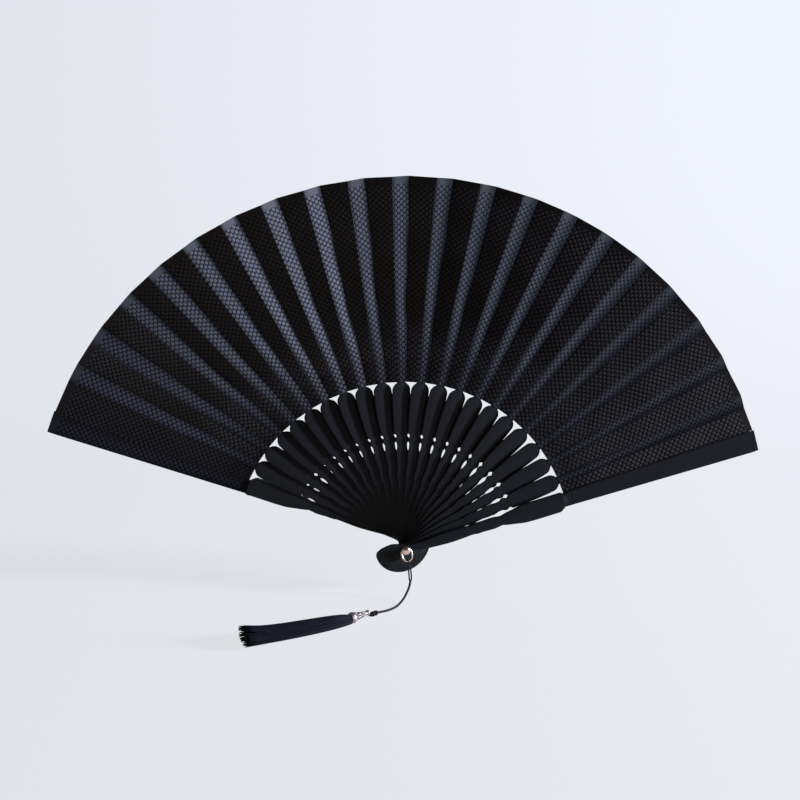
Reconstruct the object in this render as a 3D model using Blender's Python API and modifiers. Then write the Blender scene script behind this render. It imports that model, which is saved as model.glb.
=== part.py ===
"""A folding fan, open and upright: twenty carved ribs between two guards on one rivet,
a pleated cloth leaf, and a cord with a tassel on the rivet's ring.

Metres, +Z up. The rivet runs along Y and its axis passes through the origin.
The front of the fan looks along -Y, and the front guard is the one on the right.
"""

import math

import bpy
from mathutils import Matrix, Vector

MM = 0.001

# Fan
RIB_COUNT = 20
OPENING_ANGLE = math.radians(142.9)
END_GAP_ANGLE = math.radians(8.3)
TURN_TO_RIGHT = math.radians(2.5)
FAN_RADIUS = 212.5 * MM
FINGER_TOP_RADIUS = 97.8 * MM

# Ribs
RIB_THICKNESS = 0.7 * MM
SLIDE_GAP = 0.15 * MM
RIB_HEAD_REACH = 17.4 * MM
RIB_HEAD_HALF_WIDTH = 5.6 * MM
FINGER_HALF_WIDTH = 5.3 * MM
FINGER_DOME_HEIGHT = 6.4 * MM
FINGER_STOP_HALF_WIDTH = 3.7 * MM
BLADE_THICKNESS = 0.4 * MM
BLADE_SETBACK = 0.27 * MM
BLADE_INNER_WIDTH = 4.6 * MM
BLADE_OUTER_WIDTH = 6.4 * MM
BLADE_SHORT_OF_EDGE = 2.5 * MM

# Guards
GUARD_THICKNESS = 2.4 * MM
GUARD_LEAF_THICKNESS = 0.9 * MM
GUARD_FACE_STEP = 0.15 * MM
GUARD_HEAD_REACH = 17.4 * MM
GUARD_HEAD_HALF_WIDTH = 5.2 * MM
GUARD_FINGER_HALF_WIDTH = 5.15 * MM
BACK_GUARD_HANDLE_SHIFT = 1.45 * MM
FRONT_GUARD_HANDLE_SHIFT = -0.9 * MM
HANDLE_SHIFT_START = 2.0 * MM
HANDLE_SHIFT_RAMP = 10.0 * MM
GUARD_SHOULDER_WIDTH = 8.6 * MM
GUARD_TIP_WIDTH = 13.2 * MM
GUARD_PAST_LEAF = 0.4 * MM

# Leaf
CLOTH_THICKNESS = 0.18 * MM
CLOTH_GAP = 0.07 * MM
LEAF_PAST_FINGER_STOP = 0.5 * MM
RIDGE_CLEARANCE = 0.3 * MM
PLEAT_SLOPE = 0.30
PLEAT_FULL_RADIUS = 150.0 * MM
VALLEY_SHARE = 0.36
CRISP_HEM = 16.0 * MM
RELAXED_SLOPE_SHARE = 0.25

# Rivet and ring
PIN_RADIUS = 1.0 * MM
PIN_CLEARANCE = 0.1 * MM
RIVET_HEAD_RADIUS = 2.5 * MM
RIVET_HEAD_HEIGHT = 1.5 * MM
RIVET_HEAD_GAP = 0.05 * MM
CAP_SOCKET_DEPTH = 0.8 * MM
CAP_SOCKET_GAP = 0.05 * MM
RING_HALF_WIDTH = 2.95 * MM
RING_HALF_HEIGHT = 4.1 * MM
RING_WIRE_RADIUS = 0.6 * MM
RING_CLEARANCE = 0.12 * MM
RING_LEAN = math.radians(9)
RING_SWING_AT_REST = math.radians(12)

# Cord and tassel
FLOOR = -28.5 * MM
CORD_RADIUS = 0.6 * MM
STRAND_RADIUS = 0.38 * MM
STRAND_SPREAD = 1.3 * MM
LOOP_CLEARANCE = 0.3 * MM
TOUCH_GAP = 0.3 * MM
KNOT_LENGTH = 6.2 * MM
KNOT_RADIUS = 1.5 * MM
TASSEL_CAP_LENGTH = 14.0 * MM
TASSEL_CAP_RADIUS = 3.3 * MM
TASSEL_HEADING = math.radians(36)
SKIRT_LENGTH = 64.0 * MM
SKIRT_TURN = math.radians(-22)
SKIRT_START_HALF_WIDTH = 3.3 * MM
SKIRT_END_HALF_WIDTH = 8.3 * MM
SKIRT_START_HALF_HEIGHT = 3.1 * MM
SKIRT_END_HALF_HEIGHT = 4.7 * MM
FLUTE_DEPTH_SHARE = 0.09

# Facets
ROUND_SIDES = 20
BORE_SIDES = 16
DOME_STEPS = 5
RING_SIDES = 28
MERGE = 0.005 * MM
CUT_OVERRUN = 1.0 * MM

# The cord's route from the loop's end to the knot, chosen by hand
CORD_ROUTE = [
    (2.4 * MM, -13.6 * MM, -17.7 * MM),
    (2.1 * MM, -14.0 * MM, -19.7 * MM),
    (1.3 * MM, -15.0 * MM, -22.0 * MM),
    (-0.1 * MM, -16.9 * MM, -24.2 * MM),
    (-2.0 * MM, -19.8 * MM, -26.1 * MM),
    (-4.3 * MM, -23.4 * MM, -27.3 * MM),
    (-7.0 * MM, -27.4 * MM, -27.9 * MM),
    (-10.2 * MM, -31.2 * MM, -27.9 * MM),
    (-14.2 * MM, -34.5 * MM, -27.7 * MM),
    (-18.6 * MM, -37.5 * MM, -27.2 * MM),
]
CORD_STEPS_PER_SPAN = 2

# Sticks that stand a little off the even spacing, as (stick, share of the pitch)
DRIFT_SHARES = ((3, 0.075), (17, 0.03), (18, 0.09), (19, 0.15), (20, 0.20))

# Half widths of a rib up to its finger, as (share of the finger's top radius,
# share of the finger's half width), from the pivot's neck outward
RIB_HANDLE_SHARES = (
    (0.085, 0.42),
    (0.150, 0.50),
    (0.240, 0.58),
    (0.330, 0.54),
    (0.385, 0.48),
    (0.405, 0.58),
    (0.450, 0.57),
    (0.487, 0.525),
    (0.520, 0.60),
    (0.545, 0.61),
    (0.558, 0.60),
    (0.572, 0.64),
    (0.586, 0.645),
    (0.600, 0.55),
    (0.628, 0.55),
    (0.645, 0.70),
    (0.663, 0.74),
    (0.681, 0.56),
    (0.699, 0.765),
    (0.760, 0.870),
    (0.850, 0.990),
    (0.915, 1.000),
)

# The guards' handles are a little fuller, and their waists fewer
GUARD_HANDLE_SHARES = (
    (0.085, 0.44),
    (0.150, 0.50),
    (0.270, 0.66),
    (0.350, 0.62),
    (0.410, 0.56),
    (0.480, 0.60),
    (0.540, 0.64),
    (0.590, 0.54),
    (0.625, 0.68),
    (0.660, 0.76),
    (0.740, 0.93),
    (0.830, 1.000),
    (0.930, 1.000),
)

# A head's outline from its round end to the pivot's neck,
# as (share of the reach behind the pivot, share of the half width)
HEAD_SHARES = (
    (-1.00, 0.20),
    (-0.97, 0.42),
    (-0.88, 0.68),
    (-0.70, 0.90),
    (-0.42, 1.00),
    (-0.25, 0.85),
    (-0.10, 0.62),
    (0.02, 0.48),
    (0.12, 0.41),
    (0.22, 0.39),
)

# Where the leaf's inner rows lie between its inner edge and the full pleats
INNER_ROW_SHARES = (0.0, 0.18, 0.42, 0.70, 1.0)

# Turned shapes, as (share of the radius, share of the length)
KNOT_SHARES = (
    (0.40, 0.0),
    (0.80, 0.10),
    (0.95, 0.25),
    (0.72, 0.38),
    (1.00, 0.55),
    (0.78, 0.72),
    (0.88, 0.85),
    (0.45, 1.0),
)
TASSEL_CAP_SHARES = (
    (0.00, 0.00),
    (0.38, 0.03),
    (0.46, 0.10),
    (0.30, 0.17),
    (0.42, 0.24),
    (0.50, 0.34),
    (0.72, 0.60),
    (0.86, 0.78),
    (1.00, 0.84),
    (1.00, 0.91),
    (0.88, 0.96),
    (0.80, 1.00),
)

# Along the skirt: share of its length, and how far the sizes have gone to their end values
SKIRT_SHARES = (
    (0.00, 0.00),
    (0.06, 0.16),
    (0.20, 0.46),
    (0.40, 0.64),
    (0.62, 0.78),
    (0.82, 0.90),
    (0.95, 1.00),
    (1.00, 0.92),
)
FLUTES = 11

# What follows from these sizes
GAP_COUNT = RIB_COUNT + 1
PITCH_ANGLE = (OPENING_ANGLE - 2 * END_GAP_ANGLE) / (RIB_COUNT - 1)
STACK_PITCH = RIB_THICKNESS + SLIDE_GAP
RIB_STACK = RIB_COUNT * RIB_THICKNESS + (RIB_COUNT - 1) * SLIDE_GAP
GUARD_INNER_Y = RIB_STACK / 2 + SLIDE_GAP
GUARD_OUTER_Y = GUARD_INNER_Y + GUARD_THICKNESS
GUARD_LEAF_OUTER_Y = GUARD_OUTER_Y - GUARD_FACE_STEP
GUARD_LEAF_INNER_Y = GUARD_LEAF_OUTER_Y - GUARD_LEAF_THICKNESS
FINGER_STOP_RADIUS = FINGER_TOP_RADIUS - FINGER_DOME_HEIGHT * (
    1 - math.sin(math.acos(FINGER_STOP_HALF_WIDTH / FINGER_HALF_WIDTH))
)
LEAF_INNER_RADIUS = FINGER_STOP_RADIUS + LEAF_PAST_FINGER_STOP
CLOTH_SETBACK = BLADE_SETBACK - CLOTH_GAP - CLOTH_THICKNESS / 2
CLOTH_OFF_GUARD = CLOTH_GAP + CLOTH_THICKNESS / 2
BORE_RADIUS = PIN_RADIUS + PIN_CLEARANCE
RING_FORWARD = RING_HALF_HEIGHT * math.sin(RING_LEAN)
RING_REACH = RING_HALF_HEIGHT * math.cos(RING_LEAN)
RING_ROOM = 2 * (RING_WIRE_RADIUS + RING_CLEARANCE) + RING_FORWARD
RING_DROP = RING_REACH - RING_WIRE_RADIUS - PIN_RADIUS - RING_CLEARANCE
RING_Y = -GUARD_OUTER_Y - RING_WIRE_RADIUS - RING_CLEARANCE - RING_FORWARD


def stick_angle(index):
    """The lean of a stick from upright, to the right: 0 is the back guard."""
    angle = TURN_TO_RIGHT - OPENING_ANGLE / 2
    if index > 0:
        angle += END_GAP_ANGLE + (index - 1) * PITCH_ANGLE
    if index == GAP_COUNT:
        angle += END_GAP_ANGLE - PITCH_ANGLE
    for stick, share in DRIFT_SHARES:
        if stick == index:
            angle += share * PITCH_ANGLE
    return angle


def gap_after(index):
    """The angle from a stick to the next one in front of it."""
    return stick_angle(index + 1) - stick_angle(index)


def rib_front_y(index):
    """Where rib 1, at the back, to the last rib, at the front, has its front face."""
    return RIB_STACK / 2 - RIB_THICKNESS - (index - 1) * STACK_PITCH


def smooth(share):
    """A soft step from 0 to 1."""
    share = min(max(share, 0), 1)
    return share * share * (3 - 2 * share)


def slope_at(radius):
    """How much a pleat's panel on its rib leans, as rise over run."""
    return PLEAT_SLOPE * smooth(
        (radius - LEAF_INNER_RADIUS) / (PLEAT_FULL_RADIUS - LEAF_INNER_RADIUS)
    )


def relaxed_share(radius):
    """How far the cloth past a blade still follows the blade's lean."""
    crisp = smooth(1 - (FAN_RADIUS - radius) / CRISP_HEM)
    return RELAXED_SLOPE_SHARE + (1 - RELAXED_SLOPE_SHARE) * crisp


def blade_half_width(radius):
    share = (radius - LEAF_INNER_RADIUS) / (FAN_RADIUS - LEAF_INNER_RADIUS)
    return (BLADE_INNER_WIDTH + (BLADE_OUTER_WIDTH - BLADE_INNER_WIDTH) * share) / 2


def guard_half_width(radius):
    share = (radius - LEAF_INNER_RADIUS) / (FAN_RADIUS - LEAF_INNER_RADIUS)
    return (GUARD_SHOULDER_WIDTH + (GUARD_TIP_WIDTH - GUARD_SHOULDER_WIDTH) * share) / 2


def leaf_radii():
    """The radii of the leaf's rows, from its inner edge to its hem."""
    inner = [
        LEAF_INNER_RADIUS + share * (PLEAT_FULL_RADIUS - LEAF_INNER_RADIUS)
        for share in INNER_ROW_SHARES
    ]
    return inner + [FAN_RADIUS - CRISP_HEM, FAN_RADIUS]


def make_material(name, colour, roughness, metallic=0.0):
    material = bpy.data.materials.new(name)
    material.use_nodes = True
    shader = material.node_tree.nodes["Principled BSDF"]
    shader.inputs["Base Color"].default_value = (*colour, 1)
    shader.inputs["Roughness"].default_value = roughness
    shader.inputs["Metallic"].default_value = metallic
    return material


def add_object(name, mesh, material, collection):
    """One named object for a sub-part. A mesh may be shared by several."""
    thing = bpy.data.objects.new(name, mesh)
    collection.objects.link(thing)
    if material and not mesh.materials:
        mesh.materials.append(material)
    return thing


def loft_mesh(name, rings):
    """A closed mesh through rings of as many points each, with both ends capped."""
    count = len(rings[0])
    points = [point for ring in rings for point in ring]
    faces = []
    for row in range(len(rings) - 1):
        for column in range(count):
            following = (column + 1) % count
            faces.append((
                row * count + column,
                row * count + following,
                (row + 1) * count + following,
                (row + 1) * count + column,
            ))
    last = (len(rings) - 1) * count
    faces.append(tuple(reversed(range(count))))
    faces.append(tuple(range(last, last + count)))
    mesh = bpy.data.meshes.new(name)
    mesh.from_pydata(points, [], faces)
    mesh.update()
    return mesh


def sheet_mesh(name, rows):
    """An open surface through rows of as many points each, facing the front."""
    count = len(rows[0])
    points = [point for row in rows for point in row]
    faces = []
    for row in range(len(rows) - 1):
        for column in range(count - 1):
            first = row * count + column
            faces.append((first, first + 1, first + 1 + count, first + count))
    mesh = bpy.data.meshes.new(name)
    mesh.from_pydata(points, [], faces)
    mesh.update()
    return mesh


def applied_mesh(thing, name):
    """The mesh of an object with its modifiers applied. The object is removed."""
    graph = bpy.context.evaluated_depsgraph_get()
    mesh = bpy.data.meshes.new_from_object(thing.evaluated_get(graph))
    mesh.name = name
    bpy.data.objects.remove(thing)
    return mesh


def round_shading(mesh):
    mesh.shade_smooth()
    mesh.set_sharp_from_angle(angle=math.radians(40))


def head_stations(reach, half_width):
    return [(along * reach, across * half_width) for along, across in HEAD_SHARES]


def handle_stations(shares, half_width):
    return [
        (along * FINGER_TOP_RADIUS, across * half_width) for along, across in shares
    ]


def dome_stations(half_width, stop_width):
    """A finger's round top, from its widest place until it is as narrow as what follows."""
    stations = []
    start = FINGER_TOP_RADIUS - FINGER_DOME_HEIGHT
    last_angle = math.acos(stop_width / half_width)
    for step in range(1, DOME_STEPS + 1):
        angle = last_angle * step / DOME_STEPS
        stations.append((
            start + FINGER_DOME_HEIGHT * math.sin(angle),
            half_width * math.cos(angle),
        ))
    return stations


def slab_ring(along, half_width, front, back, slope=0.0, shift=0.0):
    """Four corners of a stick's section at a distance from the pivot. Local X is across."""
    lean = slope * half_width
    return [
        (shift - half_width, front - lean, along),
        (shift + half_width, front + lean, along),
        (shift + half_width, back + lean, along),
        (shift - half_width, back - lean, along),
    ]


def bored(mesh, name, cutters):
    """The mesh with the rivet's bore cut through it."""
    template = bpy.data.objects.new(name, mesh)
    bpy.context.scene.collection.objects.link(template)
    depth = 2 * GUARD_THICKNESS + 2 * CUT_OVERRUN
    bpy.ops.mesh.primitive_cylinder_add(
        vertices=BORE_SIDES, radius=BORE_RADIUS, depth=depth,
        rotation=(math.radians(90), 0, 0),
    )
    cutter = bpy.context.object
    cutter.name = name + "_bore"
    for collection in cutter.users_collection:
        collection.objects.unlink(cutter)
    cutters.objects.link(cutter)
    cutter.hide_render = True
    cutter.display_type = "WIRE"
    cut = template.modifiers.new("bore", "BOOLEAN")
    cut.operation = "DIFFERENCE"
    cut.solver = "EXACT"
    cut.object = cutter
    return applied_mesh(template, name)


def rib_mesh(cutters):
    """A rib upright in its own frame, its front face at Y 0 and the pivot at the origin."""
    back = RIB_THICKNESS
    stations = head_stations(RIB_HEAD_REACH, RIB_HEAD_HALF_WIDTH)
    stations += handle_stations(RIB_HANDLE_SHARES, FINGER_HALF_WIDTH)
    stations += dome_stations(FINGER_HALF_WIDTH, FINGER_STOP_HALF_WIDTH)
    rings = [slab_ring(along, half, 0, back) for along, half in stations]
    blade_back = BLADE_SETBACK + BLADE_THICKNESS
    tip = FAN_RADIUS - BLADE_SHORT_OF_EDGE
    for radius in [r for r in leaf_radii() if r < tip] + [tip]:
        rings.append(slab_ring(
            radius, blade_half_width(radius), BLADE_SETBACK, blade_back, slope_at(radius)
        ))
    return bored(loft_mesh("rib", rings), "rib", cutters)


def guard_mesh(name, handle_shift, cutters):
    """A guard in its own frame, its inner face at Y 0 and its outer face towards +Y.

    Its handle and finger lie a little to one side of the line through the pivot."""
    outer = GUARD_THICKNESS
    stations = head_stations(GUARD_HEAD_REACH, GUARD_HEAD_HALF_WIDTH)
    stations += handle_stations(GUARD_HANDLE_SHARES, GUARD_FINGER_HALF_WIDTH)
    stations += dome_stations(GUARD_FINGER_HALF_WIDTH, GUARD_SHOULDER_WIDTH / 2)
    shoulder = stations[-1][0] + GUARD_FACE_STEP
    rings = []
    for along, half in stations:
        start = smooth((along - HANDLE_SHIFT_START) / HANDLE_SHIFT_RAMP)
        stop = smooth((shoulder - along) / HANDLE_SHIFT_RAMP)
        rings.append(slab_ring(along, half, 0, outer, shift=handle_shift * start * stop))
    step = outer - GUARD_FACE_STEP
    tip = FAN_RADIUS + GUARD_PAST_LEAF
    for radius in (shoulder, tip):
        rings.append(slab_ring(
            radius, guard_half_width(radius), step - GUARD_LEAF_THICKNESS, step
        ))
    return bored(loft_mesh(name, rings), name, cutters)


def turned_mesh(name, profile):
    """A closed turned solid about local Z from (radius, height) points, top to bottom."""
    mesh = bpy.data.meshes.new(name)
    points = [(radius, 0, height) for radius, height in profile]
    mesh.from_pydata(points, [(n, n + 1) for n in range(len(points) - 1)], [])
    thing = bpy.data.objects.new(name, mesh)
    bpy.context.scene.collection.objects.link(thing)
    screw = thing.modifiers.new("turn", "SCREW")
    screw.axis = "Z"
    screw.steps = ROUND_SIDES
    screw.render_steps = ROUND_SIDES
    screw.use_merge_vertices = True
    screw.merge_threshold = MERGE
    turned = applied_mesh(thing, name)
    round_shading(turned)
    return turned


def dome_profile(radius, height, base):
    """Half a dome's outline, from its top on the axis down to its rim."""
    points = []
    for step in range(DOME_STEPS + 1):
        angle = math.radians(90) * step / DOME_STEPS
        points.append((radius * math.sin(angle), base + height * math.cos(angle)))
    return points


def make_sticks(group, cutters, paint):
    """The two guards and the ribs between them, each with its origin on the rivet's axis."""
    rib = rib_mesh(cutters)
    back_mesh = guard_mesh("back_guard", BACK_GUARD_HANDLE_SHIFT, cutters)
    back = add_object("back_guard", back_mesh, paint, group)
    back.location = (0, GUARD_INNER_Y, 0)
    back.rotation_euler = (0, stick_angle(0), 0)
    for index in range(1, RIB_COUNT + 1):
        stick = add_object(f"rib_{index:02d}", rib, paint, group)
        stick.location = (0, rib_front_y(index), 0)
        stick.rotation_euler = (0, stick_angle(index), 0)
    front_mesh = guard_mesh("front_guard", FRONT_GUARD_HANDLE_SHIFT, cutters)
    front = add_object("front_guard", front_mesh, paint, group)
    turn = Matrix.Rotation(stick_angle(GAP_COUNT), 4, "Y")
    flip = Matrix.Rotation(math.radians(180), 4, "Z")
    front.matrix_world = Matrix.Translation((0, -GUARD_INNER_Y, 0)) @ turn @ flip


def seen_from_next(across, depth, radius, gap_angle):
    """A point given in the next stick's frame, turned into this stick's frame."""
    turn = Matrix.Rotation(gap_angle, 3, "Y")
    return turn @ Vector((across, depth, radius))


def on_rib(radius, gap_angle):
    """A pleat's three points on and past its rib: ridge, blade edge and valley."""
    slope = slope_at(radius)
    edge = blade_half_width(radius) + RIDGE_CLEARANCE
    valley = radius * math.sin(VALLEY_SHARE * gap_angle)
    edge_y = CLOTH_SETBACK + slope * edge
    valley_y = edge_y + relaxed_share(radius) * slope * (valley - edge)
    return [
        (-edge, CLOTH_SETBACK - slope * edge, radius),
        (edge, edge_y, radius),
        (valley, valley_y, radius * math.cos(VALLEY_SHARE * gap_angle)),
    ]


def on_next_rib(radius, next_front, gap_angle):
    """Where a pleat's free panel ends, just behind the next blade's left edge."""
    slope = slope_at(radius)
    edge = blade_half_width(radius) + RIDGE_CLEARANCE
    behind = BLADE_SETBACK + BLADE_THICKNESS + CLOTH_GAP
    depth = next_front + behind - slope * edge
    return seen_from_next(-edge, depth, radius, gap_angle)


def on_back_guard(radius):
    """The first pleat is glued flat on the back guard, from its lower edge."""
    depth = GUARD_LEAF_INNER_Y - GUARD_INNER_Y - CLOTH_OFF_GUARD
    half = guard_half_width(radius)
    valley_angle = VALLEY_SHARE * gap_after(0)
    valley = radius * math.sin(valley_angle)
    return [
        (-half + RIDGE_CLEARANCE, depth, radius),
        (min(half, valley - RIDGE_CLEARANCE), depth, radius),
        (valley, depth, radius * math.cos(valley_angle)),
    ]


def on_front_guard(radius, guard_inner):
    """The last pleat runs under the front guard and is glued to its inner face."""
    depth = guard_inner + CLOTH_OFF_GUARD
    half = guard_half_width(radius) - RIDGE_CLEARANCE
    return [
        seen_from_next(side * half, depth, radius, gap_after(RIB_COUNT)) for side in (-1, 1)
    ]


def cloth_mesh(name, rows):
    """A pleat's surface with the cloth's thickness."""
    thing = bpy.data.objects.new(name, sheet_mesh(name, rows))
    bpy.context.scene.collection.objects.link(thing)
    solid = thing.modifiers.new("cloth", "SOLIDIFY")
    solid.thickness = CLOTH_THICKNESS
    solid.offset = 0
    return applied_mesh(thing, name)


def make_leaf(group, cloth):
    """One pleat for each gap between sticks, in the frame of the stick at its left."""
    radii = leaf_radii()
    to_rib = SLIDE_GAP + RIB_THICKNESS
    guard_face = -SLIDE_GAP - (GUARD_LEAF_INNER_Y - GUARD_INNER_Y)
    for index in range(GAP_COUNT):
        gap = gap_after(index)
        depth = GUARD_INNER_Y if index == 0 else rib_front_y(index)
        if index == 0:
            rows = [on_back_guard(r) + [on_next_rib(r, -to_rib, gap)] for r in radii]
        elif index == RIB_COUNT:
            rows = [on_rib(r, gap) + on_front_guard(r, guard_face) for r in radii]
        else:
            rows = [on_rib(r, gap) + [on_next_rib(r, -STACK_PITCH, gap)] for r in radii]
        name = f"leaf_{index + 1:02d}"
        pleat = add_object(name, cloth_mesh(name, rows), cloth, group)
        pleat.location = (0, depth, 0)
        pleat.rotation_euler = (0, stick_angle(index), 0)


def make_rivet(group, metal):
    """A pin with a domed rear head, and a domed cap on its front end past the ring."""
    quarter_turn = (math.radians(90), 0, 0)
    front_end = GUARD_OUTER_Y + RING_ROOM + CAP_SOCKET_DEPTH - CAP_SOCKET_GAP
    rear_face = -GUARD_OUTER_Y - RIVET_HEAD_GAP
    rear_dome = [
        (radius, -height)
        for radius, height in dome_profile(RIVET_HEAD_RADIUS, RIVET_HEAD_HEIGHT, -rear_face)
    ]
    pin = [(0, front_end), (PIN_RADIUS, front_end), (PIN_RADIUS, rear_face)]
    pin_mesh = turned_mesh("rivet_pin", pin + list(reversed(rear_dome)))
    add_object("rivet_pin", pin_mesh, metal, group).rotation_euler = quarter_turn
    base = GUARD_OUTER_Y + RING_ROOM
    socket = PIN_RADIUS + CAP_SOCKET_GAP
    cap = dome_profile(RIVET_HEAD_RADIUS, RIVET_HEAD_HEIGHT, base)
    cap += [(socket, base), (socket, base + CAP_SOCKET_DEPTH), (0, base + CAP_SOCKET_DEPTH)]
    cap_mesh = turned_mesh("rivet_cap", cap)
    add_object("rivet_cap", cap_mesh, metal, group).rotation_euler = quarter_turn


def make_ring(group, metal):
    """The oval ring that hangs on the rivet's neck between the front guard and the cap."""
    curve = bpy.data.curves.new("cord_ring", "CURVE")
    curve.dimensions = "3D"
    curve.bevel_depth = RING_WIRE_RADIUS
    curve.bevel_resolution = 2
    spline = curve.splines.new("POLY")
    spline.points.add(RING_SIDES - 1)
    spline.use_cyclic_u = True
    for step, place in enumerate(spline.points):
        angle = 2 * math.pi * step / RING_SIDES
        across = RING_HALF_WIDTH * math.sin(angle)
        depth = RING_FORWARD * math.cos(angle)
        rise = RING_REACH * math.cos(angle) - RING_DROP
        place.co = (across, depth, rise, 1)
    ring = bpy.data.objects.new("cord_ring", curve)
    ring.location = (0, RING_Y, 0)
    ring.rotation_euler = (0, -RING_SWING_AT_REST, 0)
    group.objects.link(ring)
    curve.materials.append(metal)


def smooth_route(points, steps):
    """More points on a soft curve through the route's own points."""
    route = []
    count = len(points)
    for index in range(count - 1):
        before = points[max(index - 1, 0)]
        here = points[index]
        there = points[index + 1]
        after = points[min(index + 2, count - 1)]
        for step in range(steps):
            share = step / steps
            point = []
            for a, b, c, d in zip(before, here, there, after):
                bend = (2 * a - 5 * b + 4 * c - d) * share ** 2
                rise = (3 * b - a - 3 * c + d) * share ** 3
                point.append((2 * b + (c - a) * share + bend + rise) / 2)
            route.append(tuple(point))
    route.append(points[-1])
    return route


def tube(name, points, radius, material, group):
    """A round cord along a list of points, with filled ends."""
    curve = bpy.data.curves.new(name, "CURVE")
    curve.dimensions = "3D"
    curve.bevel_depth = radius
    curve.bevel_resolution = 2
    curve.use_fill_caps = True
    spline = curve.splines.new("POLY")
    spline.points.add(len(points) - 1)
    for place, point in zip(spline.points, points):
        place.co = (*point, 1)
    thing = bpy.data.objects.new(name, curve)
    group.objects.link(thing)
    curve.materials.append(material)
    return thing


def loop_route():
    """The cord's bight through the ring: up one side of the wire, over it and down."""
    wire = RING_WIRE_RADIUS + LOOP_CLEARANCE + STRAND_RADIUS
    wire_x = (RING_DROP + RING_REACH) * math.sin(RING_SWING_AT_REST)
    wire_z = -(RING_DROP + RING_REACH) * math.cos(RING_SWING_AT_REST)
    wire_y = RING_Y - RING_FORWARD
    end = Vector(CORD_ROUTE[0]) + Vector((0, 0, CORD_RADIUS + TOUCH_GAP))
    points = []
    for side in (-1, 1):
        leg = [
            Vector((end.x + side * STRAND_SPREAD / 2, end.y, end.z)),
            Vector((
                (wire_x + 2 * end.x) / 3 + side * STRAND_SPREAD / 2,
                wire_y + side * wire / 2,
                (wire_z + end.z) / 2,
            )),
            Vector((wire_x + side * STRAND_SPREAD / 4, wire_y + side * wire, wire_z)),
        ]
        points.append(leg)
    top = Vector((wire_x, wire_y, wire_z + wire))
    diagonal = wire * math.sin(math.radians(45))
    shoulder = [
        Vector((
            wire_x + side * STRAND_SPREAD / 8,
            wire_y + side * diagonal,
            wire_z + diagonal,
        ))
        for side in (-1, 1)
    ]
    route = points[0] + [shoulder[0], top, shoulder[1]] + list(reversed(points[1]))
    return smooth_route([tuple(point) for point in route], CORD_STEPS_PER_SPAN)


def along_heading(start, heading, distance):
    """A point on the floor's plane, a distance from start towards a heading."""
    step = Vector((-math.cos(heading), -math.sin(heading), 0))
    return Vector(start) + step * distance


def make_cord(group, cord, metal, silk):
    """The doubled cord from the ring to the floor, and its knot, cap and tassel."""
    tube("cord_loop", loop_route(), STRAND_RADIUS, cord, group)
    tube("cord", smooth_route(CORD_ROUTE, CORD_STEPS_PER_SPAN), CORD_RADIUS, cord, group)
    down_heading = Vector((-math.cos(TASSEL_HEADING), -math.sin(TASSEL_HEADING), 0))
    facing = down_heading.to_track_quat("Z", "Y").to_euler()
    knot_profile = [(0, KNOT_LENGTH)]
    knot_profile += [
        (across * KNOT_RADIUS, KNOT_LENGTH * along)
        for across, along in reversed(KNOT_SHARES)
    ]
    knot_profile.append((0, 0))
    knot = add_object("tassel_knot", turned_mesh("tassel_knot", knot_profile), cord, group)
    knot_start = along_heading(CORD_ROUTE[-1], TASSEL_HEADING, TOUCH_GAP)
    knot_start.z = FLOOR + KNOT_RADIUS
    knot.location = knot_start
    knot.rotation_euler = facing
    cap_profile = [(0, TASSEL_CAP_LENGTH)]
    cap_profile += [
        (across * TASSEL_CAP_RADIUS, TASSEL_CAP_LENGTH * along)
        for across, along in reversed(TASSEL_CAP_SHARES)
    ]
    cap = add_object("tassel_cap", turned_mesh("tassel_cap", cap_profile), metal, group)
    cap_start = along_heading(knot_start, TASSEL_HEADING, KNOT_LENGTH + TOUCH_GAP)
    cap_start.z = FLOOR + TASSEL_CAP_RADIUS
    cap.location = cap_start
    cap.rotation_euler = facing
    skirt_start = along_heading(
        cap_start, TASSEL_HEADING, TASSEL_CAP_LENGTH + TOUCH_GAP
    )
    add_object("tassel_skirt", skirt_mesh(skirt_start), silk, group)


def skirt_mesh(start):
    """The tassel's strands as one fluted bundle that spreads and lies flat on the floor."""
    rings = []
    place = Vector(start)
    heading, done = TASSEL_HEADING, 0.0
    for share, spread in SKIRT_SHARES:
        place = along_heading(place, heading, (share - done) * SKIRT_LENGTH)
        heading, done = TASSEL_HEADING + SKIRT_TURN * math.sqrt(share), share
        half_width = SKIRT_START_HALF_WIDTH + spread * (
            SKIRT_END_HALF_WIDTH - SKIRT_START_HALF_WIDTH
        )
        half_height = SKIRT_START_HALF_HEIGHT + spread * (
            SKIRT_END_HALF_HEIGHT - SKIRT_START_HALF_HEIGHT
        )
        across = Vector((math.sin(heading), -math.cos(heading), 0))
        ring = []
        for step in range(2 * FLUTES):
            angle = math.pi * step / FLUTES
            grow = 1 - FLUTE_DEPTH_SHARE * (step % 2)
            rise = half_height * (1 + grow * math.sin(angle))
            side = half_width * grow * math.cos(angle)
            ring.append(tuple(
                Vector((place.x, place.y, FLOOR + rise)) + across * side
            ))
        rings.append(ring)
    return loft_mesh("tassel_skirt", rings)


def clear_scene():
    for thing in list(bpy.data.objects):
        bpy.data.objects.remove(thing)


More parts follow.
